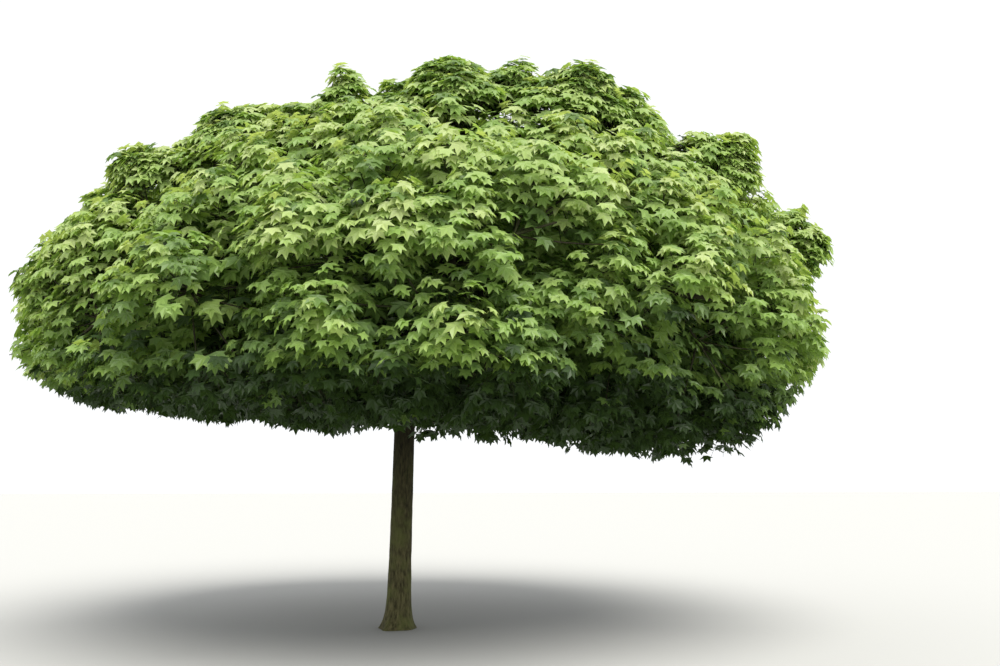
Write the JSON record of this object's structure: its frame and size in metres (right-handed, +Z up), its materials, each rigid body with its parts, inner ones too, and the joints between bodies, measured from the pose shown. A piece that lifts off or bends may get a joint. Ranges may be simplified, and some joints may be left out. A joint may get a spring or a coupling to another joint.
{
  "type": "maple tree",
  "caption": "Round-headed leafy maple tree: a slim clear trunk with a slight root flare, boughs that fan out from its head, and a dense wide dome of lobed leaves.",
  "frame": {"origin": "middle of the trunk's flat cut at ground level", "axes": "+Z up; the picture looks along +Y, with +X to its right"},
  "size_m": [7.8303, 7.7186, 5.2634],
  "materials": {
    "bark": "rough grey-brown bark",
    "foliage": "soft green leaves"
  },
  "bodies": {
    "root": {"trunk": "bark", "bough_top": "bark", "bough_upper_1": "bark", "bough_upper_2": "bark", "bough_upper_3": "bark", "bough_upper_4": "bark", "bough_upper_5": "bark", "bough_lower_1": "bark", "bough_lower_2": "bark", "bough_lower_3": "bark", "bough_lower_4": "bark", "bough_lower_5": "bark", "bough_lower_6": "bark", "bough_lower_7": "bark", "bough_lower_8": "bark", "bough_lower_9": "bark", "crown_top": "foliage", "crown_upper_1": "foliage", "crown_upper_2": "foliage", "crown_upper_3": "foliage", "crown_upper_4": "foliage", "crown_upper_5": "foliage", "crown_lower_1": "foliage", "crown_lower_2": "foliage", "crown_lower_3": "foliage", "crown_lower_4": "foliage", "crown_lower_5": "foliage", "crown_lower_6": "foliage", "crown_lower_7": "foliage", "crown_lower_8": "foliage", "crown_lower_9": "foliage"}
  },
  "joints": []
}
